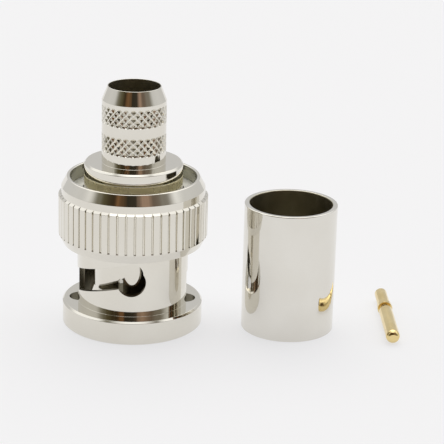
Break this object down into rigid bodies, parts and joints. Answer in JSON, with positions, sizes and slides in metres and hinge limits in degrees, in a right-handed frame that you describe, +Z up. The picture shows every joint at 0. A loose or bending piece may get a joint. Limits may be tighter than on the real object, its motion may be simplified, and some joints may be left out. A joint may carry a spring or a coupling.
{
  "type": "bnc crimp connector",
  "caption": "Coaxial crimp plug with a knurled quarter-turn bayonet nut and crimp stem, with its loose ferrule and centre contact.",
  "frame": {"origin": "centre of the coupling nut's mating face", "axes": "+Z up the plug's axis to its cable end; +X through a bayonet channel, towards the loose ferrule and contact"},
  "size_m": [0.0333, 0.0144, 0.0239],
  "materials": {
    "nut_nickel": "polished",
    "body_nickel": "polished",
    "ferrule_nickel": "polished",
    "spring_steel": "satin",
    "silicone": "matte",
    "ptfe": "satin",
    "gold": "polished"
  },
  "bodies": {
    "nut": {"coupling_nut": "nut_nickel", "retaining_ring": "spring_steel", "crimp_ferrule": "ferrule_nickel", "centre_contact": "gold"},
    "washers": {"thrust_washer": "spring_steel", "wave_washer": "spring_steel"},
    "plug_body": {"body_shell": "body_nickel", "outer_contact": "body_nickel", "gasket": "silicone", "insulator": "ptfe", "crimp_stem": "body_nickel"}
  },
  "joints": [
    {"name": "nut_turn", "type": "hinge", "parent": "nut", "child": "washers", "pos_m": [0, 0, 0.0128], "axis": [0, 0, 1], "continuous": true},
    {"name": "spring_travel", "type": "slide", "parent": "washers", "child": "plug_body", "axis": [0, 0, 1], "range_m": [0, 0.0008], "stiffness_N_per_m": 6000, "springref_m": -0.0004, "deforming": ["wave_washer"]}
  ]
}
